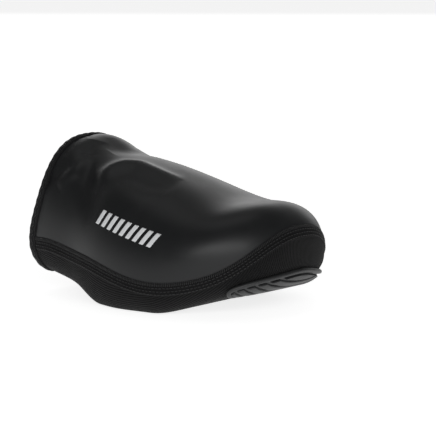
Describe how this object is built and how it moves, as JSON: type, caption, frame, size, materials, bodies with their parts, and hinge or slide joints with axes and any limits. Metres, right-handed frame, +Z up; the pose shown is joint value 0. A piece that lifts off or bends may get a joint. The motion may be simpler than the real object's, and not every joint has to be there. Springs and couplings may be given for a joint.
{
  "type": "cycling toe cover",
  "caption": "Stretch sleeve for the front half of a cycling shoe: coated upper, ribbed woven sole with cleat opening, collar tape and rubber toe guard.",
  "frame": {"origin": "on the floor below the middle of the bounding box, with the cover standing on the ball of its sole", "axes": "+X to the toe, +Y to the inner side of the foot, -Y to the outer side, +Z up"},
  "size_m": [0.1637, 0.1117, 0.0888],
  "materials": {
    "coated_stretch_fabric": "polyurethane coated, satin",
    "ribbed_woven_fabric": "ribbed weave, matte",
    "elastic_tape": "fine woven elastic, matte",
    "moulded_rubber": "moulded, semi-matte"
  },
  "bodies": {
    "root": {"upper": "coated_stretch_fabric", "sole": "ribbed_woven_fabric", "collar_binding": "elastic_tape", "toe_guard": "moulded_rubber"}
  },
  "joints": []
}
